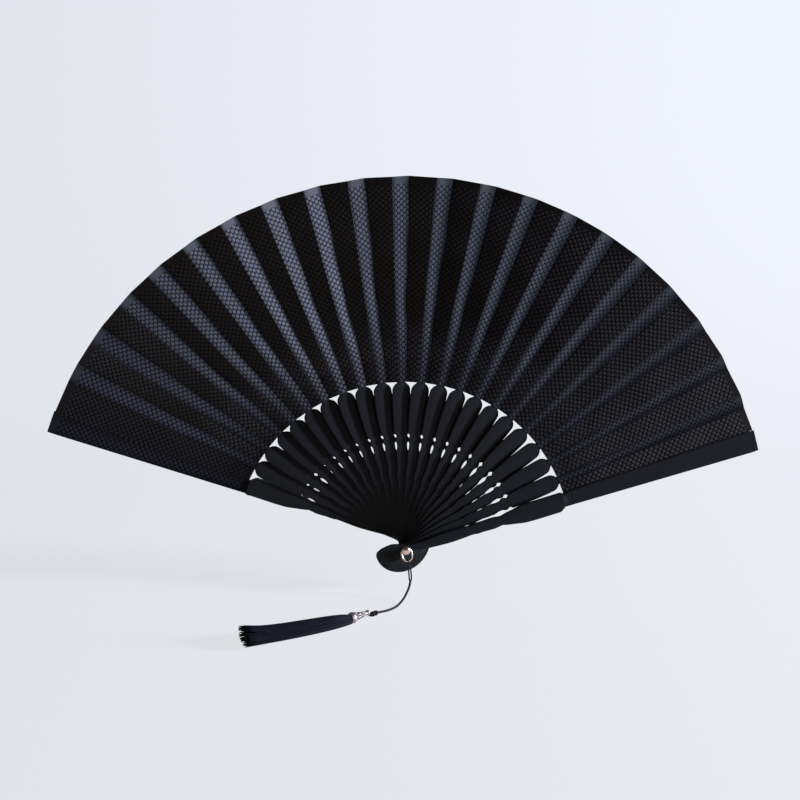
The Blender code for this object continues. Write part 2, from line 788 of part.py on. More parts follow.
def main():
    clear_scene()
    group = bpy.data.collections.new("folding_fan")
    cutters = bpy.data.collections.new("cutters")
    for collection in (group, cutters):
        bpy.context.scene.collection.children.link(collection)
    paint = make_material("black_bamboo", (0.018, 0.018, 0.020), 0.55)
    cloth = make_material("black_cloth", (0.016, 0.015, 0.018), 0.75)
    metal = make_material("rose_gold", (0.80, 0.58, 0.47), 0.25, 1.0)
    filigree = make_material("antique_silver", (0.62, 0.55, 0.50), 0.35, 1.0)
    cord = make_material("black_cord", (0.020, 0.018, 0.020), 0.70)
    silk = make_material("black_silk", (0.012, 0.012, 0.015), 0.45)
    make_sticks(group, cutters, paint)
    make_leaf(group, cloth)
    make_rivet(group, metal)
    make_ring(group, metal)
    make_cord(group, cord, filigree, silk)


main()
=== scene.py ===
"""A folding fan, open and upright: carved black ribs and guards on one rivet, a pleated
woven leaf, and a cord with a silk tassel that lies on the floor in front."""

import math
import random

import bpy
from mathutils import Matrix, Vector


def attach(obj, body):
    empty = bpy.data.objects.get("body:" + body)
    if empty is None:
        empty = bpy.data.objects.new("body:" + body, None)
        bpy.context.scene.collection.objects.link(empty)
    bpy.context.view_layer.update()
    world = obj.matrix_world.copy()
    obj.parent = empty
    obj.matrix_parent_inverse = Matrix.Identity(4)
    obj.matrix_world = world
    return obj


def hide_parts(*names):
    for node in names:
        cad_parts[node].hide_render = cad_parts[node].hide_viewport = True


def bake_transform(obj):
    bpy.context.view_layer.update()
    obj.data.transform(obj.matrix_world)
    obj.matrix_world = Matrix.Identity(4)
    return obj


MM = 0.001

# The fan's sizes, in millimetres
RIBS = 20
OPENING = math.radians(142.9)
END_GAP = math.radians(8.3)
TURN = math.radians(2.5)
PITCH = (OPENING - 2 * END_GAP) / (RIBS - 1)
# How far some sticks stand off even spacing, as shares of a step
DRIFT = {3: 0.075, 17: 0.03, 18: 0.09, 19: 0.15, 20: 0.20}
FAN_RADIUS = 212.5
FINGER_TOP = 97.8
RIB_FINGER_TOP = 96.7
LEAF_INNER = 96.48
RIB_THICK = 0.7
STACK_PITCH = 0.85
GUARD_THICK = 2.4
GUARD_OUTER_Y = 10.975
GUARD_LEAF_THICK = 0.9
GUARD_LEAF_INNER_Y = 9.925
FLOOR = -28.5
PIN_RADIUS = 1.0
BORE_RADIUS = 1.1
RIVET_RADIUS = 2.5
RIVET_RISE = 1.5
RING_HALF_WIDTH = 2.95
RING_HALF_HEIGHT = 4.1
RING_WIRE = 0.6
RING_GAP = 0.12
RING_LEAN = math.radians(9)
RING_SWING = math.radians(12)
RING_FORWARD = RING_HALF_HEIGHT * math.sin(RING_LEAN)
RING_REACH = RING_HALF_HEIGHT * math.cos(RING_LEAN)
RING_ROOM = 2 * (RING_WIRE + RING_GAP) + RING_FORWARD
RING_DROP = RING_REACH - RING_WIRE - (PIN_RADIUS + RING_GAP)
RING_Y = -GUARD_OUTER_Y - RING_WIRE - RING_GAP - RING_FORWARD
CORD_RADIUS = 0.6
STRAND_RADIUS = 0.38
STRAND_FULL = 0.45
STRAND_SPREAD = 1.3

# The cord's route from the end of its loop to the knot
CORD_ROUTE = (
    (2.4, -13.6, -17.7), (2.1, -14.0, -19.7), (1.3, -15.0, -22.0), (-0.1, -16.9, -24.2),
    (-2.0, -19.8, -26.1), (-4.3, -23.4, -27.3), (-7.0, -27.4, -27.9), (-10.2, -31.2, -27.9),
    (-14.2, -34.5, -27.7), (-18.6, -37.5, -27.2),
)
TASSEL_HEADING = math.radians(36)
KNOT_LENGTH = 6.2
KNOT_RADIUS = 1.5
CAP_LENGTH = 14.0
CAP_RADIUS = 3.3
SKIRT_LENGTH = 64.0
SKIRT_TURN = math.radians(-22)
TOUCH_GAP = 0.3

scene = bpy.context.scene
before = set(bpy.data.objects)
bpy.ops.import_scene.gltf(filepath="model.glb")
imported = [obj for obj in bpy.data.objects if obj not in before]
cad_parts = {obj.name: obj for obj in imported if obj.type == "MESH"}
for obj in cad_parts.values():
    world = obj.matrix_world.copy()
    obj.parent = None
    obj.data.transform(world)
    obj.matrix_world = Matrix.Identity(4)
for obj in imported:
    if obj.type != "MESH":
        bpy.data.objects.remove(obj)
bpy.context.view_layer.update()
scene.view_settings.view_transform = "Standard"


def link(thing):
    scene.collection.objects.link(thing)
    return thing


# The camera's place in metres, how many degrees it looks down and to the right, and its lens
CAMERA_PLACE = (-0.09748, -0.85433, 0.29936)
CAMERA_DOWN = 13.94
CAMERA_RIGHT = 6.37
CAMERA_LENS = 70.13


def make_camera():
    data = bpy.data.cameras.new("camera")
    data.lens = CAMERA_LENS
    data.sensor_width = 36
    camera = link(bpy.data.objects.new("camera", data))
    camera.location = CAMERA_PLACE
    camera.rotation_euler = (math.radians(90 - CAMERA_DOWN), 0, math.radians(-CAMERA_RIGHT))
    scene.camera = camera


make_camera()


def stick_angle(index):
    angle = TURN - OPENING / 2
    if index > 0:
        angle += END_GAP + (index - 1) * PITCH
    if index == RIBS + 1:
        angle += END_GAP - PITCH
    return angle + DRIFT.get(index, 0) * PITCH


def gap_after(index):
    return stick_angle(index + 1) - stick_angle(index)


def rib_front(index):
    """Where a rib has its front face, on Y."""
    first = RIBS * RIB_THICK / 2 + (RIBS - 1) * (STACK_PITCH - RIB_THICK) / 2 - RIB_THICK
    return first - (index - 1) * STACK_PITCH


def smooth(share):
    share = min(max(share, 0), 1)
    return share * share * (3 - 2 * share)


def mix(a, b, share):
    return a + (b - a) * share


def along_table(table, place):
    """A smooth value between a table's rows of (place, value)."""
    if place <= table[0][0]:
        return table[0][1]
    if place >= table[-1][0]:
        return table[-1][1]
    for index in range(len(table) - 1):
        if table[index][0] <= place <= table[index + 1][0]:
            break
    x1, y1 = table[index]
    x2, y2 = table[index + 1]
    x0, y0 = table[index - 1] if index else (2 * x1 - x2, y1)
    x3, y3 = table[index + 2] if index + 2 < len(table) else (2 * x2 - x1, y2)
    step = (y2 - y1) / (x2 - x1)

    def slope(before, after):
        return 0 if before * after <= 0 else 2 * before * after / (before + after)

    m1 = slope((y1 - y0) / (x1 - x0), step)
    m2 = slope(step, (y3 - y2) / (x3 - x2))
    t = (place - x1) / (x2 - x1)
    width = x2 - x1
    return (
        (2 * t**3 - 3 * t**2 + 1) * y1
        + (t**3 - 2 * t**2 + t) * width * m1
        + (-2 * t**3 + 3 * t**2) * y2
        + (t**3 - t**2) * width * m2
    )


def smooth_route(points, steps):
    """More points on a soft curve through the route's own points."""
    route = []
    count = len(points)
    for index in range(count - 1):
        a = points[max(index - 1, 0)]
        b = points[index]
        c = points[index + 1]
        d = points[min(index + 2, count - 1)]
        for step in range(steps):
            t = step / steps
            route.append(tuple(
                (2 * q + (r - p) * t + (2 * p - 5 * q + 4 * r - s) * t**2
                 + (3 * q - p - 3 * r + s) * t**3) / 2
                for p, q, r, s in zip(a, b, c, d)
            ))
    route.append(tuple(points[-1]))
    return route


# Meshes


def build_mesh(name, points, faces, uvs=None, sharp=None):
    """A mesh from points in millimetres. uvs has one (across, along) for each face corner."""
    mesh = bpy.data.meshes.new(name)
    mesh.from_pydata([tuple(Vector(p) * MM) for p in points], [], faces)
    if uvs is not None:
        layer = mesh.uv_layers.new(name="cloth_mm")
        flat = [value for face in uvs for corner in face for value in corner]
        layer.data.foreach_set("uv", flat)
    mesh.update()
    mesh.shade_smooth()
    if sharp is not None:
        mesh.set_sharp_from_angle(angle=math.radians(sharp))
    return mesh


def add_values(mesh, name, domain, values):
    """Numbers that a material reads by name, one for each point or face."""
    layer = mesh.attributes.new(name, "FLOAT", domain)
    layer.data.foreach_set("value", values)


def add_piece(name, mesh, material, body=None, replaces=()):
    thing = link(bpy.data.objects.new(name, mesh))
    mesh.materials.append(material)
    if body:
        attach(thing, body)
        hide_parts(*replaces)
    return thing


def ring_faces(rows, columns):
    """Faces of a closed skin through rows of points that go round, with both ends filled."""
    faces = []
    for row in range(rows - 1):
        for column in range(columns):
            after = (column + 1) % columns
            base = row * columns
            faces.append((base + column, base + after, base + columns + after,
                          base + columns + column))
    faces.append(tuple(reversed(range(columns))))
    last = (rows - 1) * columns
    faces.append(tuple(range(last, last + columns)))
    return faces


def frames_along(points):
    """The points as vectors, and a turning-free pair of side directions at each."""
    points = [Vector(p) for p in points]
    count = len(points)
    ways = []
    for index in range(count):
        way = points[min(index + 1, count - 1)] - points[max(index - 1, 0)]
        ways.append(way.normalized())
    first = Vector((0, 0, 1)) if abs(ways[0].z) < 0.9 else Vector((0, 1, 0))
    side = (first - ways[0] * first.dot(ways[0])).normalized()
    sides = []
    for way in ways:
        side = (side - way * side.dot(way)).normalized()
        sides.append((side, way.cross(side)))
    return points, sides


def tube(points, radius, sides):
    """Points and faces of a tube. radius is called with (distance along, angle round)."""
    path, frames = frames_along(points)
    rows, done = [], 0.0
    for index, (place, (side, other)) in enumerate(zip(path, frames)):
        if index:
            done += (place - path[index - 1]).length
        for step in range(sides):
            angle = 2 * math.pi * step / sides
            reach = radius(done, angle)
            rows.append(place + (side * math.cos(angle) + other * math.sin(angle)) * reach)
    return rows, ring_faces(len(path), sides)


def joined(parts):
    """Several (points, faces) as one."""
    points, faces = [], []
    for some_points, some_faces in parts:
        base = len(points)
        points.extend(some_points)
        faces.extend(tuple(base + n for n in face) for face in some_faces)
    return points, faces


# The least radius of a turned skin, which keeps the faces at its ends whole
AXIS_RADIUS = 0.0005


def turned(profile, sides):
    """A closed turned skin about local Z from (radius, height), both ends on the axis."""
    rows = []
    for radius, height in profile:
        radius = max(radius, AXIS_RADIUS)
        for step in range(sides):
            angle = 2 * math.pi * step / sides
            rows.append(Vector((radius * math.cos(angle), radius * math.sin(angle), height)))
    return rows, ring_faces(len(profile), sides)


def placed(points, matrix):
    return [matrix @ Vector(p) for p in points]


# Materials


def new_material(name):
    material = bpy.data.materials.new(name)
    material.use_nodes = True
    tree = material.node_tree
    return material, tree, tree.nodes["Principled BSDF"]


def maths(tree, operation, *values):
    made = tree.nodes.new("ShaderNodeMath")
    made.operation = operation
    for place, value in zip(made.inputs, values):
        if isinstance(value, (int, float)):
            place.default_value = value
        else:
            tree.links.new(value, place)
    return made.outputs[0]


def blend_colours(tree, share, first, second):
    made = tree.nodes.new("ShaderNodeMix")
    made.data_type = "RGBA"
    tree.links.new(share, made.inputs[0])
    for place, value in ((made.inputs[6], first), (made.inputs[7], second)):
        if isinstance(value, tuple):
            place.default_value = (*value, 1)
        else:
            tree.links.new(value, place)
    return made.outputs[2]


def ramp(tree, value, low, high):
    """value as 0 below low and 1 above high, softly."""
    made = tree.nodes.new("ShaderNodeMapRange")
    made.interpolation_type = "SMOOTHSTEP"
    made.inputs["From Min"].default_value = low
    made.inputs["From Max"].default_value = high
    tree.links.new(value, made.inputs["Value"])
    return made.outputs["Result"]


def noise(tree, vector, scale, detail, rough):
    made = tree.nodes.new("ShaderNodeTexNoise")
    made.inputs["Scale"].default_value = scale
    made.inputs["Detail"].default_value = detail
    made.inputs["Roughness"].default_value = rough
    tree.links.new(vector, made.inputs["Vector"])
    return made.outputs["Fac"]


def bump(tree, height, distance, strength, normal=None):
    made = tree.nodes.new("ShaderNodeBump")
    made.inputs["Distance"].default_value = distance
    made.inputs["Strength"].default_value = strength
    tree.links.new(height, made.inputs["Height"])
    if normal is not None:
        tree.links.new(normal, made.inputs["Normal"])
    return made.outputs["Normal"]


def own_place(tree):
    return tree.nodes.new("ShaderNodeTexCoord").outputs["Object"]


def attribute(tree, name):
    made = tree.nodes.new("ShaderNodeAttribute")
    made.attribute_name = name
    return made.outputs["Fac"]


def dress(tree, shader, colour, rough, normal):
    """Gives a shader its colour, its roughness and its small relief."""
    tree.links.new(colour, shader.inputs["Base Color"])
    tree.links.new(rough, shader.inputs["Roughness"])
    tree.links.new(normal, shader.inputs["Normal"])


def across_and_along(tree):
    """The place on a stick or a panel in millimetres, and its two parts."""
    place = tree.nodes.new("ShaderNodeUVMap")
    place.uv_map = "cloth_mm"
    parts = tree.nodes.new("ShaderNodeSeparateXYZ")
    tree.links.new(place.outputs[0], parts.inputs[0])
    return place.outputs[0], parts.outputs[0], parts.outputs[1]


# The woven figures lie on two lattices, one shifted by half a step from the other
FIGURE_STEP_ACROSS = 3.4
FIGURE_STEP_ALONG = 3.1
FIGURE_HALF_WIDTH = 0.98
FIGURE_HALF_LENGTH = 1.24
THREAD_STEP = 0.42
HEM_START = FAN_RADIUS - 3.9
HEM_STITCHED = FAN_RADIUS - 3.6


def figure_distance(tree, across, along, shift):
    """Distance from the middle of the nearest woven figure in one of the two lattices."""
    def folded(value, size):
        part = maths(tree, "DIVIDE", value, size)
        part = maths(tree, "ADD", part, shift)
        part = maths(tree, "FRACT", part)
        return maths(tree, "MULTIPLY", maths(tree, "SUBTRACT", part, 0.5), size)

    def squared(value):
        return maths(tree, "POWER", maths(tree, "ABSOLUTE", value), 2.0)

    x = maths(tree, "DIVIDE", folded(across, FIGURE_STEP_ACROSS), FIGURE_HALF_WIDTH)
    y = maths(tree, "DIVIDE", folded(along, FIGURE_STEP_ALONG), FIGURE_HALF_LENGTH)
    return maths(tree, "ADD", squared(x), squared(y))


def make_cloth():
    material, tree, shader = new_material("woven_black_cloth")
    place, across, along = across_and_along(tree)
    nearest = maths(tree, "MINIMUM", figure_distance(tree, across, along, 0.0),
                    figure_distance(tree, across, along, 0.5))
    figure = maths(tree, "SUBTRACT", 1.0, ramp(tree, nearest, 0.25, 1.25))
    hem = ramp(tree, along, HEM_START, HEM_STITCHED)
    figure = maths(tree, "MULTIPLY", figure, maths(tree, "SUBTRACT", 1.0, hem))
    wide = noise(tree, place, 0.09, 3.0, 0.6)
    threads = maths(tree, "SINE", maths(tree, "MULTIPLY", along, 2 * math.pi / THREAD_STEP))
    slubs = noise(tree, place, 1.1, 2.0, 0.6)
    # The panels on the sticks, which face the lamp, get the lighter of two copies of the weave's
    # colours; the darker copy for the free panels below is painted shade
    ground = blend_colours(tree, wide, (0.0140, 0.0140, 0.0165), (0.0215, 0.0215, 0.0250))
    # The figures are a real woven pattern; their lighter colour is partly a painted sheen on their
    # raised floats
    raised = blend_colours(tree, slubs, (0.098, 0.087, 0.095), (0.202, 0.178, 0.194))
    lit_panel_colour = blend_colours(tree, figure, ground, raised)
    # The hem is painted lighter: a painted highlight for its smoother band, strongest on the lit
    # panels
    lit_panel_colour = blend_colours(tree, hem, lit_panel_colour, (0.120, 0.112, 0.114))
    # The free panels, turned from the lamp, get a darker and browner copy of the weave's colours:
    # painted shade
    # Here too the figures' lighter colour is partly a painted sheen on their raised floats
    raised = blend_colours(tree, slubs, (0.048, 0.038, 0.035), (0.158, 0.122, 0.112))
    shaded_panel_colour = blend_colours(tree, figure, (0.0098, 0.0084, 0.0086), raised)
    # The hem on the free panels gets a weaker painted highlight, darker and browner
    shaded_panel_colour = blend_colours(tree, hem, shaded_panel_colour, (0.052, 0.040, 0.036))
    woven = blend_colours(tree, attribute(tree, "free"), lit_panel_colour, shaded_panel_colour)
    # Painted light and shade: the weave's colour is scaled towards black by a factor for each face
    painted_light_weave = blend_colours(tree, attribute(tree, "painted_light"), (0.0, 0.0, 0.0), woven)
    rough = maths(tree, "SUBTRACT", 0.50, maths(tree, "MULTIPLY", hem, 0.14))
    rough = maths(tree, "ADD", rough, maths(tree, "MULTIPLY", slubs, 0.08))
    shader.inputs["Specular IOR Level"].default_value = 0.08
    shader.inputs["Specular Tint"].default_value = (0.70, 0.80, 1.0, 1)
    fine = bump(tree, threads, 0.02 * MM, 0.5)
    stitched = bump(tree, hem, 0.12 * MM, 0.8, fine)
    dress(tree, shader, painted_light_weave, rough, bump(tree, figure, 0.16 * MM, 1.0, stitched))
    return material


def make_paint():
    material, tree, shader = new_material("satin_black_bamboo")
    place, _, _ = across_and_along(tree)
    stretch = tree.nodes.new("ShaderNodeMapping")
    stretch.inputs["Scale"].default_value = (1.0, 0.045, 1.0)
    tree.links.new(place, stretch.inputs["Vector"])
    grain = noise(tree, stretch.outputs[0], 3.2, 4.0, 0.62)
    broad = noise(tree, stretch.outputs[0], 0.55, 2.0, 0.5)
    dust = noise(tree, place, 2.4, 3.0, 0.7)
    colour = blend_colours(tree, grain, (0.0090, 0.0088, 0.0095), (0.0160, 0.0156, 0.0168))
    rough = maths(tree, "ADD", 0.36, maths(tree, "MULTIPLY", broad, 0.14))
    rough = maths(tree, "ADD", rough, maths(tree, "MULTIPLY", dust, 0.06))
    shader.inputs["Specular IOR Level"].default_value = 0.10
    dress(tree, shader, colour, rough, bump(tree, grain, 0.05 * MM, 0.5))
    return material


def make_metal(name, light, dark, low_rough, high_rough, tarnish=None):
    """tarnish is the colour of the hollows, where the mesh has an attribute named recess."""
    material, tree, shader = new_material(name)
    marks = noise(tree, own_place(tree), 900.0, 3.0, 0.6)
    colour = blend_colours(tree, marks, light, dark)
    if tarnish:
        colour = blend_colours(tree, attribute(tree, "recess"), colour, tarnish)
    shader.inputs["Metallic"].default_value = 1.0
    rough = maths(tree, "ADD", low_rough, maths(tree, "MULTIPLY", marks, high_rough - low_rough))
    dress(tree, shader, colour, rough, bump(tree, marks, 0.02 * MM, 0.4))
    return material


def make_thread(name, dark, light, rough, scale, gloss):
    material, tree, shader = new_material(name)
    fibre = noise(tree, own_place(tree), scale, 4.0, 0.65)
    tree.links.new(blend_colours(tree, fibre, dark, light), shader.inputs["Base Color"])
    shader.inputs["Roughness"].default_value = rough
    shader.inputs["Specular IOR Level"].default_value = gloss
    tree.links.new(bump(tree, fibre, 0.06 * MM, 0.6), shader.inputs["Normal"])
    return material


cloth = make_cloth()
paint = make_paint()
rose_gold = make_metal("rose_gold_metal", (0.76, 0.58, 0.49), (0.64, 0.46, 0.38), 0.20, 0.34)
silver = make_metal(
    "antique_filigree_metal", (0.44, 0.365, 0.32), (0.26, 0.21, 0.185), 0.46, 0.60,
    tarnish=(0.06, 0.05, 0.045),
)
cord_thread = make_thread(
    "black_braided_cord", (0.006, 0.005, 0.006), (0.026, 0.022, 0.024), 0.55, 2200.0, gloss=0.12
)
silk = make_thread(
    "black_silk_threads", (0.003, 0.003, 0.004), (0.016, 0.016, 0.021), 0.48, 1400.0, gloss=0.04
)


# Cord and tassel


def wire_bottom():
    """The middle of the ring's wire at its lowest point."""
    drop = RING_DROP + RING_REACH
    return drop * math.sin(RING_SWING), RING_Y - RING_FORWARD, -drop * math.cos(RING_SWING)


def loop_points(steps):
    """The cord's bight through the ring: up one side of the wire, over it and down."""
    wire = RING_WIRE + TOUCH_GAP + STRAND_RADIUS
    wire_x, wire_y, wire_z = wire_bottom()
    end = Vector(CORD_ROUTE[0]) + Vector((0, 0, CORD_RADIUS + TOUCH_GAP))
    legs = []
    for side in (-1, 1):
        legs.append([
            Vector((end.x + side * STRAND_SPREAD / 2, end.y, end.z)),
            Vector(((wire_x + 2 * end.x) / 3 + side * STRAND_SPREAD / 2,
                    wire_y + side * wire / 2, (wire_z + end.z) / 2)),
            Vector((wire_x + side * STRAND_SPREAD / 4, wire_y + side * wire, wire_z)),
        ])
    diagonal = wire * math.sin(math.radians(45))
    shoulder = [
        Vector((wire_x + side * STRAND_SPREAD / 8, wire_y + side * diagonal, wire_z + diagonal))
        for side in (-1, 1)
    ]
    top = Vector((wire_x, wire_y, wire_z + wire))
    route = legs[0] + [shoulder[0], top, shoulder[1]] + list(reversed(legs[1]))
    return smooth_route([tuple(p) for p in route], steps)


def heading_point(start, heading, distance):
    return Vector(start) + Vector((-math.cos(heading), -math.sin(heading), 0)) * distance


def tassel_places():
    """Where the knot, the metal cap and the silk start, in line on the floor."""
    turn = heading_point((0, 0, 0), TASSEL_HEADING, 1).to_track_quat("Z", "Y").to_matrix().to_4x4()
    knot_start = heading_point(CORD_ROUTE[-1], TASSEL_HEADING, TOUCH_GAP)
    knot_start.z = FLOOR + KNOT_RADIUS
    cap_start = heading_point(knot_start, TASSEL_HEADING, KNOT_LENGTH + TOUCH_GAP)
    cap_start.z = FLOOR + CAP_RADIUS
    skirt_start = heading_point(cap_start, TASSEL_HEADING, CAP_LENGTH + TOUCH_GAP)
    knot_place = Matrix.Translation(knot_start) @ turn
    return knot_place, Matrix.Translation(cap_start) @ turn, skirt_start


# The knot's turns of cord, as (height, radius, cord's radius)
KNOT_TURNS = (
    (0.7, 0.70, 0.48), (1.7, 0.98, 0.58), (2.75, 0.80, 0.55),
    (3.8, 1.00, 0.58), (4.8, 0.86, 0.52), (5.6, 0.60, 0.42),
)
# The core inside them, as (radius, height)
KNOT_CORE = (
    (0, 0.02), (0.5, 0.1), (0.72, 0.6), (0.8, 3.0), (0.7, 5.4), (0.45, 6.1), (0, 6.18),
)


def make_knot(place):
    """Wound turns of cord, slightly uneven, round a core."""
    parts = []
    for at, radius, size in KNOT_TURNS:
        circle = []
        for step in range(33):
            angle = 2 * math.pi * step / 32
            wave = 0.16 * math.sin(angle * 2 + at * 3)
            circle.append((radius * math.cos(angle), radius * math.sin(angle), at + wave))

        def ply(done, angle, size=size):
            return size * (0.94 + 0.06 * math.cos(3 * angle + 5 * done))

        parts.append(tube(circle, ply, 12))
    parts.append(turned(KNOT_CORE, 20))
    points, faces = joined(parts)
    return build_mesh("tassel_knot_fine", placed(points, place), faces)


# The cap's bell, as (height, share of its largest radius)
CAP_OUTLINE = (
    (0.0, 0.05), (0.30, 0.36), (0.62, 0.42), (1.4, 0.46), (2.2, 0.34), (3.0, 0.36),
    (4.2, 0.44), (6.0, 0.54), (8.2, 0.68), (10.6, 0.84), (11.8, 0.95), (12.6, 0.97),
    (13.3, 0.93), (13.9, 0.86),
)
# Its rows of beads, as (height, radius of the row, how many, radius of a bead)
CAP_BEADS = (
    (1.05, 1.32, 14, 0.30), (3.1, 1.16, 12, 0.28), (11.7, 2.78, 26, 0.34), (13.45, 2.66, 24, 0.33),
)
CAP_ROWS = 110
CAP_SIDES = 96


def make_cap(place):
    """A filigree bell: beaded rims, raised petals and a row of drops round its mouth."""
    points, hollows = [], []
    for row in range(CAP_ROWS + 1):
        at = CAP_LENGTH * row / CAP_ROWS
        base = along_table(CAP_OUTLINE, at) * CAP_RADIUS
        for step in range(CAP_SIDES):
            angle = 2 * math.pi * step / CAP_SIDES
            petal = abs(math.cos(4 * angle + 0.42 * at)) * abs(math.cos(4 * angle - 0.42 * at))
            lace = smooth((at - 3.4) / 1.2) * smooth((11.6 - at) / 0.8)
            scroll = math.sin(16 * angle) * math.sin(at * 2.6)
            swell = 1 - 0.16 * lace * (1 - petal) + 0.035 * lace * scroll
            hollows.append(lace * smooth((0.62 - petal) / 0.34))
            points.append(Vector((base * swell * math.cos(angle),
                                  base * swell * math.sin(angle), at)))
    parts = [(points, ring_faces(CAP_ROWS + 1, CAP_SIDES))]
    for at, radius, count, size in CAP_BEADS:
        ball = [(size * math.sin(math.pi * n / 6), -size * math.cos(math.pi * n / 6))
                for n in range(7)]
        for index in range(count):
            angle = 2 * math.pi * index / count
            ball_points, ball_faces = turned(ball, 8)
            centre = Vector((radius * math.cos(angle), radius * math.sin(angle), at))
            parts.append(([p + centre for p in ball_points], ball_faces))
    all_points, faces = joined(parts)
    mesh = build_mesh("tassel_cap_fine", placed(all_points, place), faces)
    hollows += [0.0] * (len(all_points) - len(hollows))
    add_values(mesh, "recess", "POINT", hollows)
    return mesh


# The silk's half width and half height, by the share of its length from the cap
SILK_HALF_WIDTH = (
    (0, 2.9), (0.06, 4.0), (0.2, 5.5), (0.4, 6.4), (0.62, 7.1), (0.82, 8.0), (1, 9.2),
)
SILK_HALF_HEIGHT = (
    (0, 2.8), (0.06, 3.3), (0.2, 3.8), (0.4, 4.1), (0.62, 4.3), (0.82, 4.6), (1, 5.2),
)
SILK_THREADS = 330
SILK_STEPS = 26
SILK_CORE_ROWS = 25
SILK_CORE_SIDES = 48


def skirt_centre(start, share):
    """Where the middle of the silk is on the floor plan, and its heading there."""
    place, done, steps = Vector(start), 0.0, 40
    heading = TASSEL_HEADING
    for step in range(1, steps + 1):
        at = share * step / steps
        place = heading_point(place, heading, (at - done) * SKIRT_LENGTH)
        heading, done = TASSEL_HEADING + SKIRT_TURN * math.sqrt(at), at
    return place, heading


def silk_stations(start):
    """Places along the silk: share, middle, way across, half width and half height."""
    stations = []
    for index in range(SILK_STEPS + 1):
        share = index / SILK_STEPS
        centre, heading = skirt_centre(start, share)
        across = Vector((math.sin(heading), -math.cos(heading), 0))
        wide, high = along_table(SILK_HALF_WIDTH, share), along_table(SILK_HALF_HEIGHT, share)
        stations.append((share, centre, across, wide, high))
    return stations


def silk_thread(stations, chance, number):
    """One thread's path, from inside the cap to its own ragged end."""
    angle = chance.uniform(0, 2 * math.pi)
    reach = math.sqrt(chance.uniform(0.12, 1.0)) if number % 3 else chance.uniform(0.9, 1.0)
    drift = chance.uniform(-0.35, 0.35)
    length = chance.uniform(0.93, 1.0) if number % 7 else chance.uniform(0.86, 0.95)
    wave = chance.uniform(0.1, 0.45)
    phase = chance.uniform(0, 6.3)
    path = []
    for share, centre, across, wide, high in stations:
        if share > length + 0.04:
            break
        turn = angle + drift * share
        stray = wave * share * (1 + 2.2 * smooth((share - 0.7) / 0.3))
        side = reach * math.cos(turn) * wide + stray * math.sin(phase + 5 * share)
        rise = high * (1 + 0.93 * reach * math.sin(turn))
        point = Vector((centre.x, centre.y, FLOOR + max(rise, 0.22))) + across * side
        path.append(tuple(point))
    return path


def silk_core(stations):
    """A fluted body inside the threads, so that no light passes between them."""
    core = []
    for _, centre, across, wide, high in stations[:SILK_CORE_ROWS]:
        for step in range(SILK_CORE_SIDES):
            angle = 2 * math.pi * step / SILK_CORE_SIDES
            flute = 1 - 0.06 * (step % 2)
            rise = high * (1 + 0.86 * flute * math.sin(angle))
            core.append(Vector((centre.x, centre.y, FLOOR + rise))
                        + across * (wide * 0.86 * flute * math.cos(angle)))
    return core, ring_faces(SILK_CORE_ROWS, SILK_CORE_SIDES)


def make_silk(start):
    """The silk as single threads that leave the cap as one round bundle and spread."""
    chance = random.Random(7)
    stations = silk_stations(start)
    parts = []
    for number in range(SILK_THREADS):
        path = silk_thread(stations, chance, number)
        thick = chance.uniform(0.15, 0.21)
        parts.append(tube(path, lambda done, angle, r=thick: r, 5))
    parts.append(silk_core(stations))
    points, faces = joined(parts)
    return build_mesh("tassel_silk_fine", points, faces)


# How far the braid runs on for one turn of its lobes
BRAID_STEP = 3.4


def braid(done, angle):
    lobes = abs(math.cos(1.5 * (angle - 2 * math.pi / BRAID_STEP * done)))
    return CORD_RADIUS * (0.98 + 0.18 * lobes)


def strand_ply(done, angle):
    return STRAND_FULL * (0.92 + 0.10 * abs(math.cos(angle - 3.2 * done)))


def make_cord():
    knot_place, cap_place, skirt_start = tassel_places()
    route = smooth_route(CORD_ROUTE, 8)
    inside = [tuple(knot_place @ Vector((0, 0, KNOT_LENGTH * n / 4))) for n in range(1, 5)]
    inside += [tuple(cap_place @ Vector((0, 0, CAP_LENGTH * n / 8))) for n in range(1, 9)]
    centre, _ = skirt_centre(skirt_start, 0.16)
    inside.append((centre.x, centre.y, FLOOR + 2.5))
    line = route + smooth_route([route[-1]] + inside, 3)[1:]
    loop = loop_points(10)

    def tucked(end):
        """Where a strand of the loop ends inside the braid."""
        return tuple(Vector(route[4]) * 0.6 + Vector(end) * 0.4 + Vector((0, 0, -0.4)))

    strands = [tucked(loop[0])] + loop + [tucked(loop[-1])]
    points, faces = joined([
        tube(smooth_route(line, 3), braid, 18), tube(strands, strand_ply, 10),
    ])
    cord = add_piece("braided_cord", build_mesh("cord_fine", points, faces), cord_thread,
                     "back_guard", ("cord", "cord_loop"))
    knot = add_piece("wound_knot", make_knot(knot_place), cord_thread, "back_guard",
                     ("tassel_knot",))
    cap = add_piece("filigree_cap", make_cap(cap_place), silver, "back_guard",
                    ("tassel_cap",))
    threads = add_piece("silk_tassel", make_silk(skirt_start), silk, "back_guard",
                        ("tassel_skirt",))


make_cord()


# Sticks

